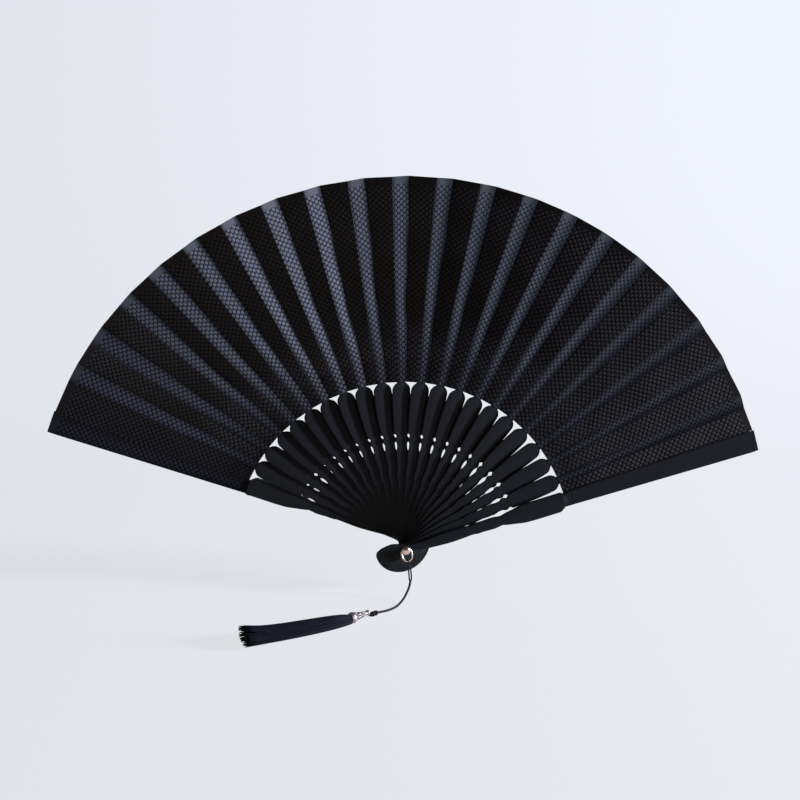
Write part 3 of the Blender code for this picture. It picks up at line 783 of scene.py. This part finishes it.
# Half widths of a rib and of a guard, as (distance from the pivot, half width)
RIB_OUTLINE = (
    (-17.4, 0.9), (-16.9, 2.35), (-15.3, 3.8), (-12.2, 5.04), (-7.3, 5.6), (-4.35, 4.76),
    (-1.74, 3.47), (0.35, 2.69), (2.1, 2.30), (3.8, 2.18), (8.3, 2.23), (14.7, 2.65),
    (20.0, 2.92), (26.0, 3.12), (31.0, 2.95),
    (35.8, 2.75), (37.2, 2.60), (38.4, 2.86), (40.0, 3.30), (42.0, 3.34), (44.3, 3.13),
    (46.4, 3.02), (47.7, 2.95), (49.0, 3.08), (50.9, 3.36), (52.2, 3.40), (53.2, 3.42),
    (54.1, 3.48), (54.9, 3.52), (56.0, 3.38), (57.1, 3.10), (58.9, 2.96), (60.3, 3.06),
    (61.4, 3.68), (62.6, 4.00), (63.5, 3.88), (64.2, 3.42), (64.9, 3.10), (65.6, 3.55),
    (66.6, 4.42), (70.5, 4.75), (74.3, 5.02), (78.5, 5.22), (83.0, 5.34), (88.0, 5.34),
    (91.5, 5.20),
)
GUARD_OUTLINE = (
    (-17.4, 0.9), (-16.9, 2.2), (-15.3, 3.54), (-12.2, 4.68), (-7.3, 5.2), (-4.35, 4.42),
    (-1.74, 3.22), (0.35, 2.50), (2.1, 2.13), (3.8, 2.03), (8.3, 2.42), (14.7, 2.85),
    (20.0, 3.2), (26.4, 3.50), (34.2, 3.24),
    (38.0, 2.98), (40.1, 2.94), (42.5, 3.3), (46.9, 3.22), (49.5, 3.36), (52.8, 3.42),
    (55.6, 3.06), (57.7, 2.84), (59.6, 3.3), (61.1, 3.66), (64.5, 4.3), (72.4, 5.6),
    (81.2, 5.8), (91.4, 5.8),
)

# How far apart a stick's sections lie, as (distance from the pivot up to which, step)
SECTION_STEPS = ((-12, 0.28), (34, 0.75), (70, 0.42), (math.inf, 1.2))
STICK_COLUMNS = 16
EDGE_ROUND = 0.30
BLADE_THICK = 0.4
BLADE_CROWN = 0.03
BLADE_WIDTH = 4.6
BLADE_SPREAD = 1.8
# How far a rib's blade lies behind the front of its finger
BLADE_BACK = 0.34
GUARD_LEAF_WIDTH = 8.6
GUARD_LEAF_SPREAD = 4.6
GUARD_LEAF_CROWN = 0.10
# How far a guard's thin part along the leaf lies behind its outer face
GUARD_LEAF_BACK = 0.15
# How far a guard's handle lies to the right of the line through the pivot, seen on its outer face
FRONT_HANDLE_SHIFT = 0.85
BACK_HANDLE_SHIFT = -1.2
# The pleats lean to this slope, which they reach at this distance from the pivot
PLEAT_SLOPE = 0.34
PLEAT_FULL_RADIUS = 150


def finger_end(reach, half, top, stop, fall=1.0):
    """A finger's round top, as rows of (distance, half width). fall above 1 is rounder."""
    rows = []
    last = math.acos((stop / half) ** (1 / fall))
    for step in range(1, 19):
        angle = last * step / 18
        rows.append((top - reach + reach * math.sin(angle), half * math.cos(angle) ** fall))
    return rows


def section(half, thick, crown):
    """A stick's section from its left edge over the front to the right and back behind.

    Front at Y 0 in the middle, rounded edges, a soft crown. Gives (across, depth)."""
    edge = min(EDGE_ROUND, thick * 0.42)
    front, back = [], []
    for column in range(STICK_COLUMNS + 1):
        share = -1 + 2 * column / STICK_COLUMNS
        share = math.copysign(1 - (1 - abs(share)) ** 1.35, share) if share else 0
        across = share * half
        inner = max(half - edge, 0.01)
        past = max(abs(across) - inner, 0) / max(half - inner, 0.001)
        round_off = edge * (1 - math.sqrt(max(1 - past * past, 0)))
        depth = crown * share * share
        front.append((across, depth + round_off * (thick - crown) / thick))
        back.append((across, thick - 0.35 * crown * share * share - round_off * 0.9))
    return front + list(reversed(back[1:-1]))


def stick_rows(outline, end_rows, thick, crown_of, tilt_of=None):
    """A stick's sections in its own upright frame, front face near Y 0, up to its finger's top."""
    places = []
    at = outline[0][0]
    while at < outline[-1][0]:
        places.append(at)
        at += next(step for limit, step in SECTION_STEPS if at < limit)
    stations = [(p, along_table(outline, p)) for p in places] + [outline[-1]] + end_rows
    rows = []
    for along, half in stations:
        lean = tilt_of(along) if tilt_of else 0
        shape = section(half, thick, crown_of(along))
        rows.append([(x, y + lean * x, along) for x, y in shape])
    return rows


def skin(rows):
    """Rows of points that go round, as points, faces and UVs in millimetres.

    The back takes its grain from another place than the front."""
    points = [p for row in rows for p in row]
    faces = ring_faces(len(rows), len(rows[0]))
    uvs = []
    for face in faces:
        uvs.append([(points[n][0] + (40 if points[n][1] > 0.4 else 0), points[n][2]) for n in face])
    return points, faces, uvs


def slope_at(radius):
    return PLEAT_SLOPE * smooth((radius - LEAF_INNER) / (PLEAT_FULL_RADIUS - LEAF_INNER))


def widened(width, spread, radius):
    """Half of a width that grows evenly along the leaf."""
    return (width + spread * (radius - LEAF_INNER) / (FAN_RADIUS - LEAF_INNER)) / 2


def blade_half(radius):
    return widened(BLADE_WIDTH, BLADE_SPREAD, radius)


def guard_half(radius):
    return widened(GUARD_LEAF_WIDTH, GUARD_LEAF_SPREAD, radius)


# Neighbours differ by little, so that the closed sticks lie clear of each other
FINGER_TWISTS = {4: 0.02, 5: 0.04, 6: 0.06, 7: 0.08, 8: 0.06, 9: 0.04, 10: 0.02}


def lean_of(index):
    """How far a rib's finger leans with its pleat. The end ribs lie nearly flat."""
    near_end = min(index - 1, RIBS - index)
    return 0.12 * (0.4, 0.6, 0.8, 1.0)[min(near_end, 3)]


def rib_skin(lean, twist):
    """twist is how far the bamboo of the finger alone has turned."""
    def crown(radius):
        return 0.22 * smooth((radius - 60) / 20) + 0.13

    def tilt(radius):
        turned_by = twist * smooth((radius - 40) / 34) * smooth((FINGER_TOP - 1.5 - radius) / 9)
        return lean * smooth((radius - 12) / 66) + turned_by

    finger = finger_end(5.2, 5.2, RIB_FINGER_TOP, 2.6, 1.12)
    rows = stick_rows(RIB_OUTLINE, finger, RIB_THICK, crown, tilt)
    for n in range(25):
        radius = mix(LEAF_INNER, FAN_RADIUS - 2.5, n / 24)
        shape = section(blade_half(radius), BLADE_THICK, BLADE_CROWN)
        slope = mix(lean, slope_at(radius), smooth((radius - LEAF_INNER) / 40))
        rows.append([(x, y + BLADE_BACK + slope * x, radius) for x, y in shape])
    return skin(rows)


def guard_skin(handle_shift):
    """A guard with its outer face at Y 0 and its inner face behind it.

    Its handle and finger lie a little to one side of the line through the pivot."""
    def crown(radius):
        return 0.35 * smooth((radius + 20) / 30) + 0.05

    finger = finger_end(6.4, 5.8, FINGER_TOP, 4.3)
    shoulder = finger[-1][0] + 0.15
    rows = []
    for row in stick_rows(GUARD_OUTLINE, finger, GUARD_THICK, crown):
        radius = row[0][2]
        shift = handle_shift * smooth((radius - 2) / 10) * smooth((shoulder - radius) / 4)
        rows.append([(x + shift, y, z) for x, y, z in row])
    tip = FAN_RADIUS + 0.4
    for n in range(29):
        radius = mix(shoulder, tip, n / 28)
        half = guard_half(radius)
        if tip - radius < 1.0:
            half -= 0.25
        shape = section(half, GUARD_LEAF_THICK, GUARD_LEAF_CROWN)
        rows.append([(x, y + GUARD_LEAF_BACK, radius) for x, y in shape])
    return skin(rows)


def bored(name, parts, depth):
    """The mesh of a stick, upright at the origin, with the rivet's bore cut through it."""
    thing = link(bpy.data.objects.new(name, build_mesh(name, *parts)))
    bore = ((0, -depth), (BORE_RADIUS, -depth), (BORE_RADIUS, depth), (0, depth))
    points, faces = turned(bore, 32)
    turn = Matrix.Rotation(math.radians(90), 4, "X")
    cutter = link(bpy.data.objects.new("bore", build_mesh("bore", placed(points, turn), faces)))
    cut = thing.modifiers.new("bore", "BOOLEAN")
    cut.operation = "DIFFERENCE"
    cut.solver = "EXACT"
    cut.object = cutter
    graph = bpy.context.evaluated_depsgraph_get()
    mesh = bpy.data.meshes.new_from_object(thing.evaluated_get(graph))
    mesh.name = thing.name
    bpy.data.objects.remove(thing)
    bpy.data.objects.remove(cutter)
    mesh.shade_smooth()
    mesh.set_sharp_from_angle(angle=math.radians(50))
    return mesh


def make_guard(name, handle_shift, depth, turn):
    mesh = bored(name + "_fine", guard_skin(handle_shift), 6)
    mesh.transform(Matrix.Translation((0, depth * MM, 0)) @ turn)
    add_piece("carved_" + name, mesh, paint, name, (name,))


def make_sticks():
    made = {}
    for index in range(1, RIBS + 1):
        shape = (lean_of(index), FINGER_TWISTS.get(index, 0))
        if shape not in made:
            made[shape] = bored("rib_fine", rib_skin(*shape), 4)
        mesh = made[shape].copy()
        turn = Matrix.Rotation(stick_angle(index), 4, "Y")
        mesh.transform(Matrix.Translation((0, rib_front(index) * MM, 0)) @ turn)
        add_piece(f"carved_rib_{index:02d}", mesh, paint, f"rib_{index:02d}",
                  (f"rib_{index:02d}",))
    front_turn = Matrix.Rotation(stick_angle(RIBS + 1), 4, "Y")
    make_guard("front_guard", FRONT_HANDLE_SHIFT, -GUARD_OUTER_Y, front_turn)
    back_turn = Matrix.Rotation(stick_angle(0), 4, "Y") @ Matrix.Rotation(math.pi, 4, "Z")
    make_guard("back_guard", BACK_HANDLE_SHIFT, GUARD_OUTER_Y, back_turn)


make_sticks()


# Leaf

# Where a pleat's fold lies, as a share of the gap between its sticks
VALLEY_SHARE = 0.26
FIRST_VALLEY_SHARE = 0.18
# How far the folds lie past a blade's edge, and inside a guard's
EDGE_ROOM = 0.3
# How far the cloth's edge is sunk into a guard's inner face
GUARD_SEAT = 0.16
LEAF_STEPS = 40
LEAF_ROWS = [LEAF_INNER + (FAN_RADIUS - LEAF_INNER) * n / LEAF_STEPS for n in range(LEAF_STEPS + 1)]
# How many faces lie across a pleat's panel on its stick
PANEL_FACES = 12
RIDGE_SOFTNESS = 0.10
# The middle of a pleat's free panel, as a share of the gap between its sticks
FREE_MIDDLE = 0.62


def polar(angle, radius, depth):
    return Vector((radius * math.sin(angle), depth, radius * math.cos(angle)))


def ridge_angle(index, radius):
    """Where the fold line on a stick's left edge lies, as an angle from upright."""
    if index in (0, RIBS + 1):
        edge = guard_half(radius) - EDGE_ROOM
    else:
        edge = blade_half(radius) + EDGE_ROOM
    return stick_angle(index) - math.atan(edge / radius)


def cloth_lift(radius):
    """How far the cloth's inner edge comes forward over the fingers."""
    return BLADE_BACK * smooth(1 - (radius - LEAF_INNER) / 3.5)


def ridge_depth(index, radius):
    """How far back the fold on a stick's left edge lies, on Y."""
    if index == RIBS + 1:
        return -GUARD_LEAF_INNER_Y + GUARD_SEAT
    if index == 0:
        return GUARD_LEAF_INNER_Y - GUARD_SEAT
    over = cloth_lift(radius)
    if index == 1:
        over -= 0.10 * (1 - smooth((radius - LEAF_INNER) / 40))
    return rib_front(index) + 0.11 - over - slope_at(radius) * (blade_half(radius) + EDGE_ROOM)


def valley_angle(index):
    share = VALLEY_SHARE if index else FIRST_VALLEY_SHARE
    return stick_angle(index) + share * gap_after(index)


def valley_depth(index, radius):
    """How far back the soft fold between two sticks lies, on Y."""
    if index == 0:
        return GUARD_LEAF_INNER_Y - GUARD_SEAT
    share = 0.45 + 0.55 * smooth(1 - (FAN_RADIUS - radius) / 16)
    edge = blade_half(radius) + EDGE_ROOM
    far = radius * math.sin(VALLEY_SHARE * gap_after(index))
    over = cloth_lift(radius)
    depth = rib_front(index) + 0.36 - over + slope_at(radius) * (edge + share * (far - edge))
    return min(depth, GUARD_LEAF_INNER_Y - 0.35)


def hem_wave(angle, radius):
    """A slight unevenness that neighbouring pleats share."""
    return 0.10 * math.sin(radius * 0.19 + angle * 23) * smooth((radius - 105) / 30)


def pleat_row(index, radius):
    """Points across a pleat: the ridge, the panel on the stick, the soft valley, the next ridge."""
    start, end = ridge_angle(index, radius), ridge_angle(index + 1, radius)
    low, high = ridge_depth(index, radius), ridge_depth(index + 1, radius)
    middle, deep = valley_angle(index), valley_depth(index, radius)
    flat = index == 0
    points = []
    for n in range(PANEL_FACES + 1):
        share = n / PANEL_FACES
        rise = share if flat else share * share / (share + RIDGE_SOFTNESS) * (1 + RIDGE_SOFTNESS)
        points.append((mix(start, middle, share), mix(low, deep, rise)))
    # The valley's soft bend
    if not flat:
        for ahead, back in ((0.035, 0.02), (0.07, 0.09)):
            points.append((middle + (middle - start) * ahead, deep - (deep - high) * back * 0.8))
    points.append((end - (end - middle) * 0.03, mix(high, deep, 0.02)))
    points.append((end, high))
    return [polar(a, radius, y + hem_wave(a, radius)) for a, y in points]


# The painted light on the cloth is brightest this many degrees left of upright
BRIGHTEST_LEFT = 18


def painted_light_at(index, across, radius):
    """Painted light and shade for the cloth's colour, at a share across a stick's own panel.

    Past 1 is the free panel. The painted light is fullest left of the middle and least at both ends,
    along the inner edge and beside the valleys on the right."""
    lean = math.degrees(stick_angle(index))
    right = smooth((lean + 5) / 12)
    inner = smooth((radius - LEAF_INNER) / 28)
    if across > 1:
        return (mix(0.95, 0.52, right) if index else 0.34) * mix(0.55, 1, inner)
    past = lean + BRIGHTEST_LEFT
    full = 0.45 + 0.85 * math.exp(-((past / (16 if past < 0 else 8)) ** 2))
    fall = 0.38 * smooth((lean - 32) / 20) if lean > 0 else 0.36 * smooth((-lean - 38) / 20)
    outer = smooth((radius - 112) / 60)
    rising = mix(mix(0.20, 0.66, outer), 1, smooth(across / mix(0.62, 0.30, outer)))
    edge = mix(0.55, 0.20, outer * right)
    narrow = 1 - mix(0.30, 0.85, right) * smooth((across - edge) / (0.95 - edge))
    return full * (1 - fall) * rising * narrow * mix(0.72, 1, inner) * (0.55 if index == 0 else 1)


def pleat_skin(index, rows):
    """A pleat's points, faces and UVs. Each panel's weave lies square to the panel's middle."""
    columns = len(rows[0])
    on_stick = Matrix.Rotation(-stick_angle(index), 3, "Y")
    free = Matrix.Rotation(-(stick_angle(index) + FREE_MIDDLE * gap_after(index)), 3, "Y")
    points = [point for row in rows for point in row]
    faces, uvs = [], []
    for row in range(len(rows) - 1):
        for column in range(columns - 1):
            first = row * columns + column
            face = (first, first + 1, first + 1 + columns, first + columns)
            turn, shift = (on_stick, 0) if column < PANEL_FACES else (free, 3.5)
            faces.append(face)
            uvs.append([
                ((turn @ points[n]).x + 7 * index + shift, LEAF_ROWS[n // columns]) for n in face
            ])
    return points, faces, uvs


def lay_pleat(piece, index):
    """Bakes a pleat's place into its mesh and hides the leaf panel of model.glb that it replaces."""
    middle = mix(valley_angle(index), ridge_angle(index + 1, PLEAT_FULL_RADIUS), 0.5)
    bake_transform(piece)
    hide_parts(f"leaf_{index + 1:02d}")


def make_leaf():
    for index in range(RIBS + 1):
        rows = [pleat_row(index, radius) for radius in LEAF_ROWS]
        name = f"pleat_{index + 1:02d}"
        points, faces, uvs = pleat_skin(index, rows)
        mesh = build_mesh(name, points, faces, uvs, sharp=8)
        places = [divmod(n, len(rows[0]) - 1) for n in range(len(faces))]
        # Each face gets a factor of painted light and shade for the cloth's colour
        add_values(mesh, "painted_light", "FACE", [
            painted_light_at(index, (column + 0.5) / PANEL_FACES, LEAF_ROWS[row]) for row, column in places
        ])
        add_values(mesh, "free", "FACE", [float(column >= PANEL_FACES) for _, column in places])
        lay_pleat(add_piece(name, mesh, cloth), index)


make_leaf()


# Rivet and ring

# The pin's end sits in a socket in the front head
SOCKET_RADIUS = 1.05
SOCKET_DEPTH = 0.8
PIN_REACH = 0.75
HEAD_RIM = 0.06
RING_STEPS = 72
RING_SIDES = 20


def make_rivet():
    quarter = Matrix.Rotation(math.radians(90), 4, "X")
    front = GUARD_OUTER_Y + RING_ROOM
    dome = [
        (RIVET_RADIUS * math.sin(math.pi / 2 * n / 14), RIVET_RISE * math.cos(math.pi / 2 * n / 14))
        for n in range(15)
    ]
    cap = [(r, front + h) for r, h in dome[:-1]]
    cap += [
        (RIVET_RADIUS, front + HEAD_RIM), (RIVET_RADIUS - HEAD_RIM, front), (SOCKET_RADIUS, front),
        (SOCKET_RADIUS, front + SOCKET_DEPTH), (0, front + SOCKET_DEPTH),
    ]
    rear = -GUARD_OUTER_Y - 0.05
    pin = [(0, rear - RIVET_RISE)] + [(r, rear - h) for r, h in dome[1:-1]]
    pin += [
        (RIVET_RADIUS, rear - HEAD_RIM), (RIVET_RADIUS - HEAD_RIM, rear), (PIN_RADIUS, rear),
        (PIN_RADIUS, front + PIN_REACH), (0, front + PIN_REACH),
    ]
    for name, profile, node in (
        ("rivet_dome", list(reversed(cap)), "rivet_cap"), ("rivet_shaft", pin, "rivet_pin"),
    ):
        points, faces = turned(profile, 64)
        mesh = build_mesh(name, placed(points, quarter), faces, sharp=45)
        add_piece(name, mesh, rose_gold, "back_guard", (node,))


def make_ring():
    """An oval link of round wire that leans forward and hangs to the right."""
    face_way = Vector((0, math.cos(RING_LEAN), -math.sin(RING_LEAN)))
    points, faces = [], []
    for step in range(RING_STEPS):
        angle = 2 * math.pi * step / RING_STEPS
        centre = Vector((RING_HALF_WIDTH * math.sin(angle), RING_FORWARD * math.cos(angle) + RING_Y,
                         RING_REACH * math.cos(angle) - RING_DROP))
        way = Vector((RING_HALF_WIDTH * math.cos(angle), -RING_FORWARD * math.sin(angle),
                      -RING_REACH * math.sin(angle))).normalized()
        other = way.cross(face_way).normalized()
        for side in range(RING_SIDES):
            turn = 2 * math.pi * side / RING_SIDES
            out = face_way * math.cos(turn) + other * math.sin(turn)
            points.append(centre + out * RING_WIRE)
    for step in range(RING_STEPS):
        base = step * RING_SIDES
        ahead = (step + 1) % RING_STEPS * RING_SIDES
        for side in range(RING_SIDES):
            after = (side + 1) % RING_SIDES
            faces.append((base + side, base + after, ahead + after, ahead + side))
    swing = Matrix.Rotation(-RING_SWING, 3, "Y")
    mesh = build_mesh("oval_ring", [swing @ p for p in points], faces)
    add_piece("oval_ring", mesh, rose_gold, "ring", ("cord_ring",))


make_rivet()
make_ring()


# Floor, backdrop and light

FLOOR_REACH = 12000
BEND_START = 260
BEND_RADIUS = 400
WALL_TOP = 2400


def make_stage():
    material, tree, shader = new_material("pale_floor")
    shader.inputs["Base Color"].default_value = (0.12, 0.12, 0.12, 1)
    shader.inputs["Roughness"].default_value = 0.8
    shader.inputs["Specular IOR Level"].default_value = 0.0
    path = tree.nodes.new("ShaderNodeLightPath")
    seen = maths(tree, "MAXIMUM", path.outputs["Is Camera Ray"], path.outputs["Is Glossy Ray"])
    seen = maths(tree, "MAXIMUM", seen, path.outputs["Is Transmission Ray"])
    glow = tree.nodes.new("ShaderNodeEmission")
    glow.inputs["Color"].default_value = (0.945, 0.955, 1.0, 1)
    parts = tree.nodes.new("ShaderNodeSeparateXYZ")
    tree.links.new(own_place(tree), parts.inputs[0])
    # Painted light: the backdrop glows a little brighter towards the right, the lamp's side
    painted_light_rightwards = maths(tree, "MULTIPLY", ramp(tree, parts.outputs[0], -0.4, 0.4), 0.055)
    level = maths(tree, "ADD", 0.735, painted_light_rightwards)
    tree.links.new(maths(tree, "MULTIPLY", seen, level), glow.inputs["Strength"])
    both = tree.nodes.new("ShaderNodeAddShader")
    tree.links.new(shader.outputs[0], both.inputs[0])
    tree.links.new(glow.outputs[0], both.inputs[1])
    tree.links.new(both.outputs[0], tree.nodes["Material Output"].inputs["Surface"])
    rows = [(-FLOOR_REACH, FLOOR), (BEND_START, FLOOR)]
    for n in range(1, 25):
        angle = math.pi / 2 * n / 24
        rows.append((BEND_START + BEND_RADIUS * math.sin(angle),
                     FLOOR + BEND_RADIUS * (1 - math.cos(angle))))
    rows.append((BEND_START + BEND_RADIUS, FLOOR + WALL_TOP))
    points, faces = [], []
    for y, z in rows:
        points += [(-FLOOR_REACH, y, z), (FLOOR_REACH, y, z)]
    for n in range(len(rows) - 1):
        faces.append((2 * n, 2 * n + 1, 2 * n + 3, 2 * n + 2))
    mesh = build_mesh("floor", points, faces)
    mesh.materials.append(material)
    floor = link(bpy.data.objects.new("floor", mesh))


# The lamp's place, seen from the fan: degrees to the right, degrees up and metres away
LAMP_RIGHT = 76
LAMP_UP = 12
LAMP_DISTANCE = 3.0


def make_lights():
    """A dim warm world, and one tall cool soft box on the right."""
    world = bpy.data.worlds.new("studio")
    scene.world = world
    world.use_nodes = True
    back = world.node_tree.nodes["Background"]
    back.inputs["Color"].default_value = (1.0, 0.90, 0.86, 1)
    back.inputs["Strength"].default_value = 0.07
    turn, lift = math.radians(LAMP_RIGHT), math.radians(LAMP_UP)
    way = Vector((math.sin(turn) * math.cos(lift), -math.cos(turn) * math.cos(lift), math.sin(lift)))
    data = bpy.data.lights.new("key", "AREA")
    data.shape = "RECTANGLE"
    data.size, data.size_y = 0.32, 0.9
    data.energy = 250
    data.color = (0.66, 0.77, 1.0)
    lamp = link(bpy.data.objects.new("key", data))
    lamp.location = Vector((0, 0, 0.10)) + way * LAMP_DISTANCE
    lamp.rotation_mode = "QUATERNION"
    lamp.rotation_quaternion = way.to_track_quat("Z", "Y")


make_stage()
make_lights()
